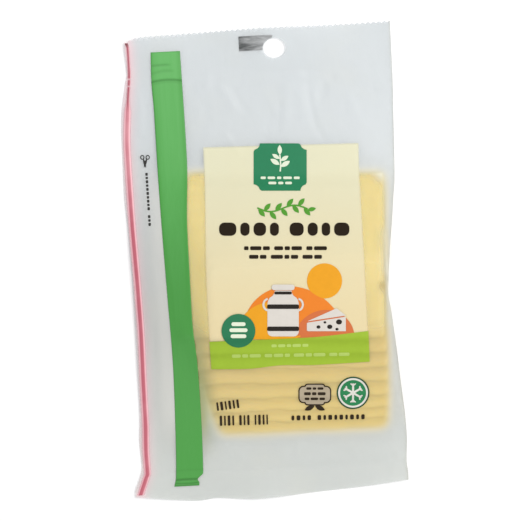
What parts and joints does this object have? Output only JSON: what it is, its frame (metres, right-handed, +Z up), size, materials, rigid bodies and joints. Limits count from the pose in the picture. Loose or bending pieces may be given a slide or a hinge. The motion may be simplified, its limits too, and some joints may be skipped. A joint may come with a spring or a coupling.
{
  "type": "pack of sliced cheese",
  "caption": "Flat clear film pouch of shingled pale cheese slices, with a sealed header and hang hole, a green zip strip and a red tear strip.",
  "frame": {"origin": "under the middle of the pack, on the surface it lies on", "axes": "+Z up through the pack, out of its printed front; +Y along the pack towards the hang hole; +X to the right seen from the front"},
  "size_m": [0.1398, 0.2363, 0.0209],
  "materials": {
    "film": "clear, slightly hazy film with soft wrinkles",
    "zip_strip": "green satin plastic strip",
    "tear_strip": "red satin plastic strip",
    "cheese": "pale yellow sliced cheese, smooth and slightly moist",
    "label_print": "translucent cream label printed on the film",
    "ink": "solid printed colours on the label and film"
  },
  "bodies": {
    "root": {"pouch": "film", "zip_strip": "zip_strip", "tear_strip": "tear_strip"}
  },
  "joints": []
}
